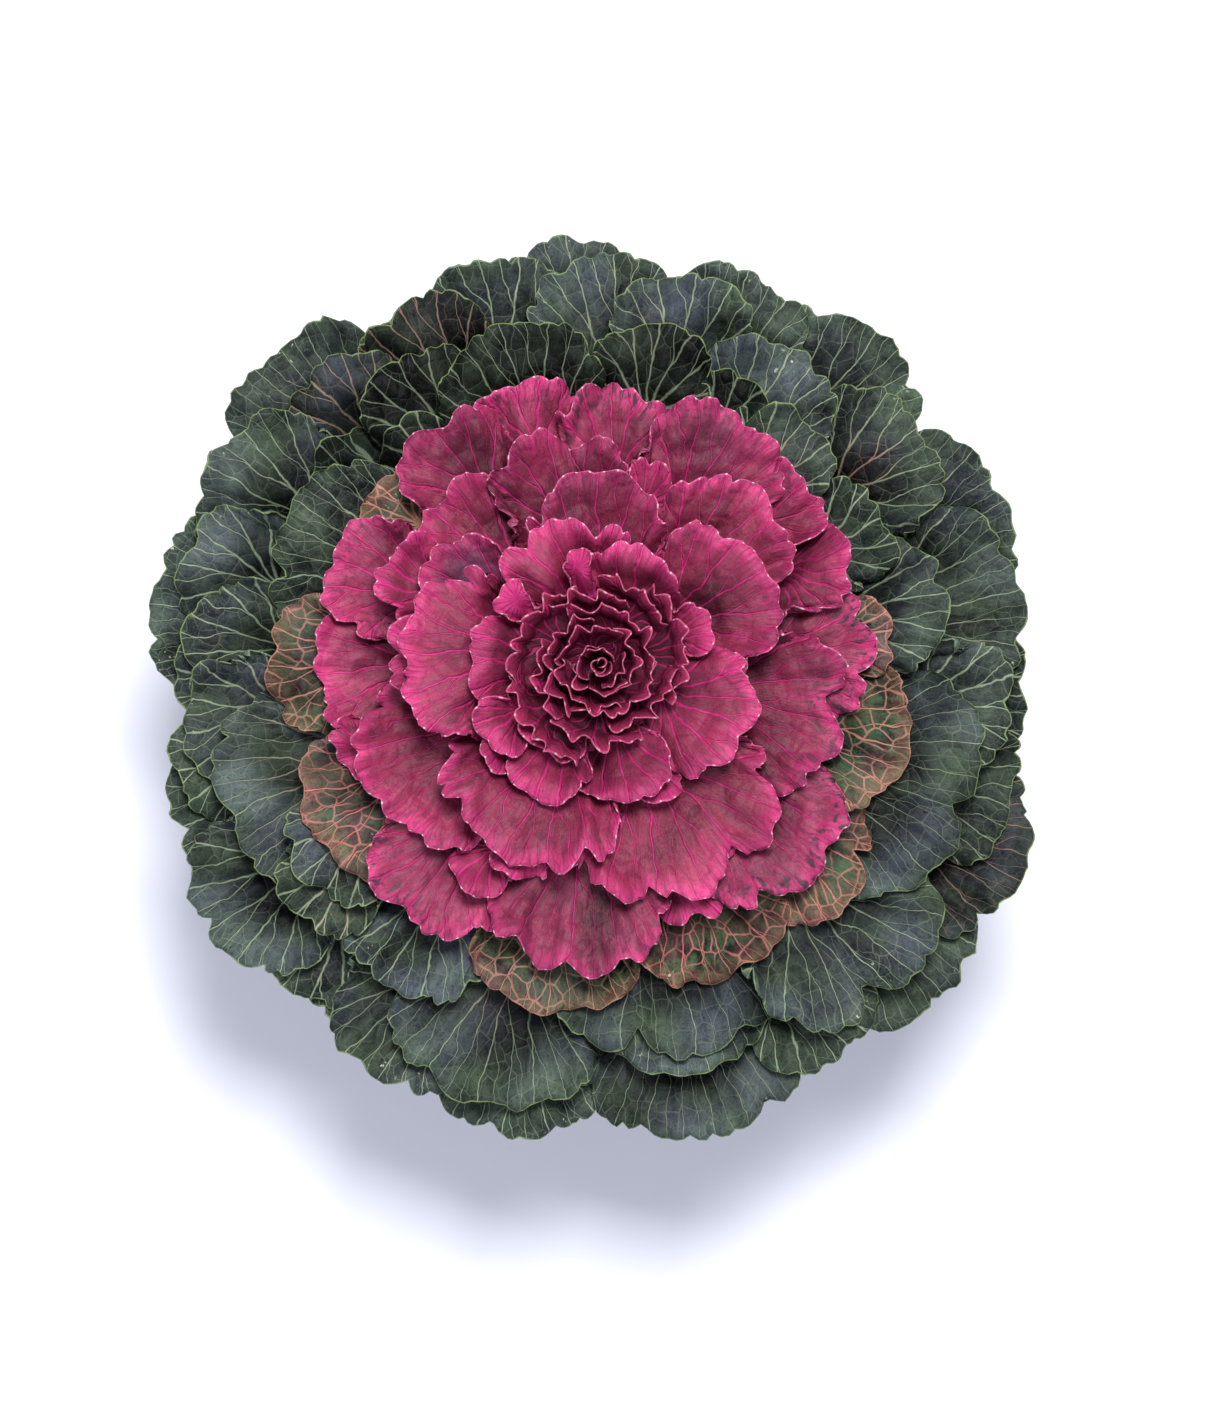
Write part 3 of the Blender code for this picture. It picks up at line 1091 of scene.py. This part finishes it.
VARIEGATED = dict(
    GREEN,
    tissue=colour(56, 76, 52),
    light=colour(84, 110, 74),
    vein=colour(178, 150, 122),
    pink_vein=colour(190, 116, 112),
    pink_tissue=colour(128, 58, 76),
    edge=colour(196, 136, 112),
    flush=0.3,
    main=0.85,
    net=0.65,
    net_width=0.08,
    margin=colour(176, 118, 100),
    # lighter margin band: partly paler edge, partly painted light
    pale_lit_margin=0.22,
)
PINK = {
    "dark": colour(106, 40, 60),
    "tissue": colour(142, 50, 80),
    "light": colour(164, 64, 98),
    "bloom": colour(112, 84, 124),
    "vein": colour(196, 36, 112),
    "pink_vein": colour(206, 44, 124),
    "pink_tissue": colour(166, 34, 84),
    "mottle": colour(58, 44, 56),
    "streak": colour(104, 44, 68),
    "margin": colour(200, 58, 120),
    # lighter margin band: partly paler edge, partly painted light
    "pale_lit_margin": 0.75,
    "streaks": 0.55,
    "fine": 0.10,
    "net": 0.16,
    "net_width": 0.045,
    "main": 0.6,
    "pillow": 0.3,
    "flush": 0.4,
    "edge": colour(206, 92, 138),
    "edge_width": 0.4,
    "edge_strength": 0.8,
    "blemish": 0.0,
    "dots": 0.6,
    "under": colour(170, 84, 116),
    "shine": 0.25,
}
INNER_PINK_PALETTE = dict(
    PINK,
    dark=colour(102, 32, 52),
    tissue=colour(132, 42, 68),
    light=colour(152, 52, 84),
)
HEART = dict(
    PINK,
    dark=colour(56, 18, 30),
    tissue=colour(104, 34, 54),
    light=colour(130, 46, 70),
    margin=colour(160, 44, 86),
    edge=colour(190, 88, 120),
    edge_width=0.4,
    edge_strength=0.6,
    dots=0.35,
)

# How one leaf differs from its ring: added pinkness, pink along its rib, added bloom, tone and mottling
NO_CHANGE = {"pink": 0.0, "rib": 0.0, "bloom": 0.0, "tone": 0.0, "mottle": 0.0}
LOOKS = {
    "plain": {},
    # Painted shade: the dark look's tone darkens leaves that lie in shade, most on the +Y side of the bowl;
    # its pink and bloom changes are the leaves' own colour.
    "dark": {"pink": -0.5, "bloom": -0.3, "tone": -0.52},
    "purple": {"pink": 0.45, "bloom": 0.1, "tone": -0.3},
    "blue": {"bloom": 0.35, "tone": 0.08},
    # Painted light: the light look's tone lightens a leaf on the -X side, where more light falls; its bloom
    # is the leaf's own.
    "light": {"bloom": 0.15, "tone": 0.2},
    "rib": {"rib": 0.9, "tone": 0.05},
    "green": {"pink": -0.5, "rib": 0.3},
    # Painted shade: this look's tone darkens pink leaves on the +Y side of the bowl, where shade falls.
    "pink_in_shade": {"tone": -0.17},
    "grey": {"pink": -0.2, "bloom": 0.9, "tone": -0.05},
    "mottled": {"mottle": 0.7},
    "veined": {"pink": 0.35, "rib": 0.3},
}

OUTER_GREEN_STYLE = Style(
    folds=3.8, frill=0.7, cup=(1.0, 6.0), curl=(4.0, 11.0), lobe=4.2,
    pink=0.04, bloom=(0.0, 0.45), mottle=0.2, painted_shade=0.52,
)
INNER_GREEN_STYLE = replace(OUTER_GREEN_STYLE, lobe=4.0, pink=0.08, bloom=(0.0, 0.5))
VARIEGATED_STYLE = Style(
    folds=3.6, frill=1.2, cup=(0.0, 5.0), curl=(4.0, 10.0), lobe=3.2,
    pink=0.55, bloom=(0.0, 0.3), mottle=0.3, painted_shade=0.45,
)
PINK_STYLE = Style(
    folds=3.8, frill=1.7, cup=(0.0, 4.5), curl=(5.0, 10.0), lobe=4.6,
    pink=0.6, bloom=(0.0, 0.15), mottle=0.8, painted_shade=0.28,
)
INNER_STYLE = Style(
    folds=3.8, frill=1.8, cup=(0.0, 4.5), curl=(4.0, 9.0), lobe=5.2,
    pink=0.7, bloom=(0.0, 0.1), mottle=0.35, painted_shade=0.30,
)

RINGS = (
    ("outer_green_leaf", OUTER_GREEN, OUTER_GREEN_STYLE, GREEN),
    ("inner_green_leaf", INNER_GREEN, INNER_GREEN_STYLE, GREEN),
    ("variegated_leaf", MIDDLE, VARIEGATED_STYLE, VARIEGATED),
    ("outer_pink_leaf", OUTER_PINK, PINK_STYLE, PINK),
    ("inner_pink_leaf", INNER_PINK, INNER_STYLE, INNER_PINK_PALETTE),
)


def turn_between(first, second):
    return abs((first - second + 180) % 360 - 180)


def levels_of(rows):
    """A level for every leaf: a CAD leaf's comes from its node, an added leaf's lies between theirs."""
    known = [level_of_node(node) if node else None for _, _, node in rows]
    found = []
    for place, (_, row, node) in enumerate(rows):
        if node:
            found.append(known[place])
            continue
        below, above = [], []
        for other_place, (_, other, other_node) in enumerate(rows):
            if not other_node or turn_between(row[0], other[0]) > row[2] + other[2]:
                continue
            (below if other_place < place else above).append(known[other_place])
        lower = max(below, default=0.0)
        upper = min([level for level in above if level > lower], default=lower + LEVEL_STEP)
        found.append(min(TOP_LEVEL, (lower + upper) / 2))
    return found


def rosette(field):
    """All leaves, made from the innermost outwards so that each fits under those before it."""
    rows = []
    green = LeafMaterial("plain_green_leaf", GREEN, 0.46).material
    for kind, ring, style, palette in RINGS:
        ring_material = LeafMaterial(kind, palette, 0.48).material
        extra = 0
        for row in ring:
            plain = "green" in kind or row[5:] in (("green",), ("dark",))
            material = green if plain else ring_material
            node = f"{kind}_{row[4]:02d}" if row[4] else None
            extra += 0 if row[4] else 1
            name = f"ruffled_{node}" if node else f"added_{kind}_{extra:02d}"
            rows.append((name, row, node, kind, style, material))
    levels = levels_of([(name, row, node) for name, row, node, *_ in rows])
    for place in reversed(range(len(rows))):
        name, row, node, slot, style, material = rows[place]
        draw = np.random.default_rng(LEAF_SEED + place)
        piece = leaf(name, row, levels[place], style, material, field, draw)
        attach(piece, "root")
        if node:
            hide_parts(node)


def heart(field):
    """The folded young leaves, upright round the growing tip, each tucked behind the next."""
    material = LeafMaterial("heart_crimson", HEART, 0.5).material
    for place, row in enumerate(HEART_LEAVES):
        draw = np.random.default_rng(HEART_SEED + place)
        piece = heart_leaf(f"heart_leaf_{place + 1:02d}", row, material, field, draw)
        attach(piece, "root")
        if row[2] < HEART_NODE_RADIUS:
            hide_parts("heart")


def heart_leaf(name, row, material, field, draw):
    """One young leaf: out from the stem, then up as a crinkled wall with a ruffled rim."""
    azimuth, half_span, rim, top = row
    across_count, along_count = HEART_GRID
    turn_share, along = np.meshgrid(
        np.linspace(-1, 1, across_count), np.linspace(0, 1, along_count), indexing="ij"
    )
    place = rim * math.radians(half_span) * turn_share
    edge = np.exp(-(1 - along) * HEART_LENGTH / RIM_FADE)
    out = smooth_step(along / HEART_BEND)
    size = min(1.0, SMALLEST_RIM_SIZE + rim / RIM_SIZE_RADIUS)
    swing = waves(place, RIM_SWINGS, draw) * RIM_SWING + waves(place, RIM_FRILLS, draw) * RIM_FRILL
    radius = heart_radius(rim, turn_share, along, out) + size * swing * edge
    radius = radius + RIM_CREASE * size * waves(place, RIM_CREASES, draw) * out
    radius = np.maximum(radius, LEAST_RADIUS)
    side_fall = SIDE_FALL * np.abs(turn_share) ** SIDE_FALL_SHARPNESS
    fall = side_fall + LOBE_FALL * (1 - lobes(place, RIM_LOBES, draw))
    height = HEART_FOOT + (top - HEART_FOOT) * along**WALL_STEEPNESS * (1 - fall)
    height = height + RIM_RUFFLE * waves(place, RIM_RUFFLES, draw) * edge
    height = np.minimum(height, HIGHEST_LEAF)
    turn = np.radians(azimuth + half_span * turn_share * (FOOT_TURN_SHARE + (1 - FOOT_TURN_SHARE) * out))
    turn = turn + RIM_SWAY * waves(place, RIM_SWAYS, draw) * edge / (rim + SWAY_RADIUS)
    points = np.stack([radius * np.cos(turn), radius * np.sin(turn), height], axis=-1)
    field.add(points[..., 0], points[..., 1], points[..., 2])
    side_depth = (1 - np.abs(turn_share)) * SIDE_SHARE * rim
    depth = np.minimum((1 - along) * (top - HEART_FOOT), side_depth)
    inward = smooth_step(depth / HEART_MARGIN_ZONE)
    half_thickness = HEART_EDGE + (HEART_HALF_THICKNESS - HEART_EDGE) * inward
    maps = uv_maps(place, along * HEART_MAP_LENGTH, place, depth)
    tint, tone = heart_tint(along, swing * edge)
    return leaf_piece(name, points, half_thickness, maps, tint, tone, material)


def heart_tint(along, ripple):
    """Even pink, with painted shade dark down in the gaps and painted light lightest on the ridges of the
    rim.
    """
    tint = np.zeros((*along.shape, 4))
    tint[..., 0] = HEART_PINK
    # Painted shade low on the wall that lifts upwards, and painted light and shade on the rim's ruffles
    tone = HEART_GAP_SHADE + HEART_SHADE_FADE * along**2 + RIPPLE_LIGHT_AND_SHADE * ripple
    return tint, np.clip(tone, 0, 1)


def heart_radius(rim, turn_share, along, out):
    """The smooth wall under the ruffles: out from its foot, then up with a slight lean and spiral."""
    foot = min(HEART_STALK_RADIUS, 0.5 * rim)
    radius = foot + (WALL_SHARE * rim - foot) * out + LEAN_SHARE * rim * along**3
    return radius + SPIRAL_SHARE * rim * turn_share * out


def terracotta():
    """Fired clay with faint turning bands and chalky lime near the foot."""
    nodes = Nodes("terracotta")
    position = nodes.position()
    _, _, z = nodes.split(position)
    cloud = nodes.noise(position, scale=28.0, detail=5.0, roughness=0.6)
    grain = nodes.noise(position, scale=900.0, detail=3.0, roughness=0.7)
    bands = nodes.noise(nodes.join(0.0, 0.0, z), scale=700.0, detail=2.0)
    lime = nodes.step(nodes.noise(position, scale=60.0, detail=4.0), 0.55, 0.75)
    lime = nodes.times(lime, nodes.step(z, 0.06, 0.0))
    base = nodes.mix(nodes.step(cloud, 0.35, 0.7), colour(172, 98, 68), colour(196, 124, 90))
    base = nodes.mix(nodes.times(bands, 0.25), base, colour(150, 82, 58))
    base = nodes.mix(nodes.times(lime, 0.6), base, colour(214, 190, 172))
    base = nodes.mix(nodes.times(nodes.step(grain, 0.62, 0.72), 0.35), base, colour(120, 66, 48))
    relief = nodes.plus(nodes.times(grain, 0.6), nodes.times(bands, 0.6))
    nodes.bump(relief, strength=0.5, distance=0.0004)
    return nodes.finish(base, nodes.plus(nodes.times(grain, 0.2), 0.72))


def peat():
    """Dark crumbs with brown fibres and a few pale grains."""
    nodes = Nodes("peat")
    position = nodes.position()
    crumb = nodes.cells(position, scale=330.0)
    grain = nodes.noise(position, scale=700.0, detail=5.0, roughness=0.7)
    pale = nodes.step(nodes.noise(position, scale=240.0, detail=1.0), 0.72, 0.76)
    base = nodes.mix(nodes.step(crumb, 0.2, 0.7), colour(52, 38, 30), colour(26, 18, 14))
    base = nodes.mix(nodes.times(nodes.step(grain, 0.6, 0.72), 0.6), base, colour(96, 74, 54))
    base = nodes.mix(pale, base, colour(196, 190, 178))
    relief = nodes.plus(nodes.times(crumb, -1.0), grain)
    nodes.bump(relief, strength=0.9, distance=0.0018)
    return nodes.finish(base, nodes.plus(nodes.times(grain, 0.2), 0.78))


# Heights on the stem, in metres, between which it turns from green to crimson
CRIMSON_FROM = 0.146
CRIMSON_FULL = 0.160


def stalk():
    """Pale green bark with leaf scars, crimson where it carries the pink leaves."""
    nodes = Nodes("stalk")
    position = nodes.position()
    x, y, z = nodes.split(position)
    streak = nodes.noise(nodes.join(x, y, nodes.times(z, 0.2)), scale=500.0, detail=4.0)
    scar = nodes.cracks(nodes.join(x, y, nodes.times(z, 1.6)), scale=110.0, dimensions="3D")
    scar = nodes.step(scar, 0.10, 0.03)
    base = nodes.mix(streak, colour(118, 128, 84), colour(168, 172, 124))
    base = nodes.mix(nodes.times(scar, 0.7), base, colour(112, 92, 64))
    base = nodes.mix(nodes.step(z, CRIMSON_FROM, CRIMSON_FULL), base, colour(112, 30, 62))
    relief = nodes.minus(nodes.times(streak, 0.5), scar)
    nodes.bump(relief, strength=0.7, distance=0.0008)
    return nodes.finish(base, nodes.plus(nodes.times(streak, 0.2), 0.5))


def holder():
    """The pot, the soil and the stem keep their CAD shapes and get their finishes."""
    for node, material in (("pot", terracotta()), ("soil", peat()), ("stem", stalk())):
        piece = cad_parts[node]
        piece.data.materials.clear()
        piece.data.materials.append(material)


def floor():
    bpy.ops.mesh.primitive_plane_add(size=8)
    ground = bpy.context.object
    ground.name = "studio_floor"
    nodes = Nodes("studio_paper")
    nodes.shader.inputs["Base Color"].default_value = colour(236, 239, 250)
    nodes.shader.inputs["Roughness"].default_value = 0.9
    nodes.shader.inputs["Specular IOR Level"].default_value = 0.1
    ground.data.materials.append(nodes.material)


# The studio's lights: places and sizes in metres, energies in watts
LEAVES_MIDDLE = (0.0, 0.0, 0.16)
KEY_PLACE = (0.13, 0.56, 1.85)
KEY_SIZE = 0.45
KEY_ENERGY = 38
KEY_TONE = (1.0, 0.99, 0.97)
FILL_PLACE = (-0.9, -0.9, 1.3)
FILL_SIZE = 1.6
FILL_ENERGY = 10
FILL_TONE = (0.93, 0.95, 1.0)
AIR_TONE = (0.86, 0.88, 1.0, 1.0)
AIR_STRENGTH = 0.52


def area_light(name, place, size, energy, tone):
    """A square light that faces the leaves."""
    light = bpy.data.lights.new(name, "AREA")
    light.size = size
    light.energy = energy
    light.color = tone
    obj = bpy.data.objects.new(name, light)
    bpy.context.scene.collection.objects.link(obj)
    obj.location = place
    direction = Vector(LEAVES_MIDDLE) - Vector(place)
    obj.rotation_euler = direction.to_track_quat("-Z", "Y").to_euler()


def studio():
    """Soft light from above the picture's top edge, pale fill from all round."""
    area_light("key", KEY_PLACE, KEY_SIZE, KEY_ENERGY, KEY_TONE)
    area_light("fill", FILL_PLACE, FILL_SIZE, FILL_ENERGY, FILL_TONE)
    world = bpy.data.worlds.new("studio_air")
    world.use_nodes = True
    background = world.node_tree.nodes["Background"]
    background.inputs["Color"].default_value = AIR_TONE
    background.inputs["Strength"].default_value = AIR_STRENGTH
    bpy.context.scene.world = world
    view = bpy.context.scene.view_settings
    view.view_transform = "Standard"
    view.exposure = 0.0


# The camera looks straight down, as in the photograph of 1219 by 1422 pixels
PICTURE_WIDTH = 1219
PICTURE_HEIGHT = 1422
MM_PER_PIXEL = 0.36
HEART_ACROSS = 600
HEART_DOWN = 665
LEAF_PLANE = 0.165
LENS = 100.0
SENSOR = 36.0


def camera():
    data = bpy.data.cameras.new("camera")
    data.lens = LENS
    data.sensor_width = SENSOR
    obj = bpy.data.objects.new("camera", data)
    bpy.context.scene.collection.objects.link(obj)
    height = PICTURE_HEIGHT * MM_PER_PIXEL * MM * LENS / SENSOR
    across = (PICTURE_WIDTH / 2 - HEART_ACROSS) * MM_PER_PIXEL * MM
    up = (HEART_DOWN - PICTURE_HEIGHT / 2) * MM_PER_PIXEL * MM
    obj.location = (across, up, LEAF_PLANE + height)
    obj.rotation_euler = (0.0, 0.0, 0.0)
    bpy.context.scene.camera = obj


field = Field()
heart(field)
rosette(field)
holder()
floor()
studio()
camera()
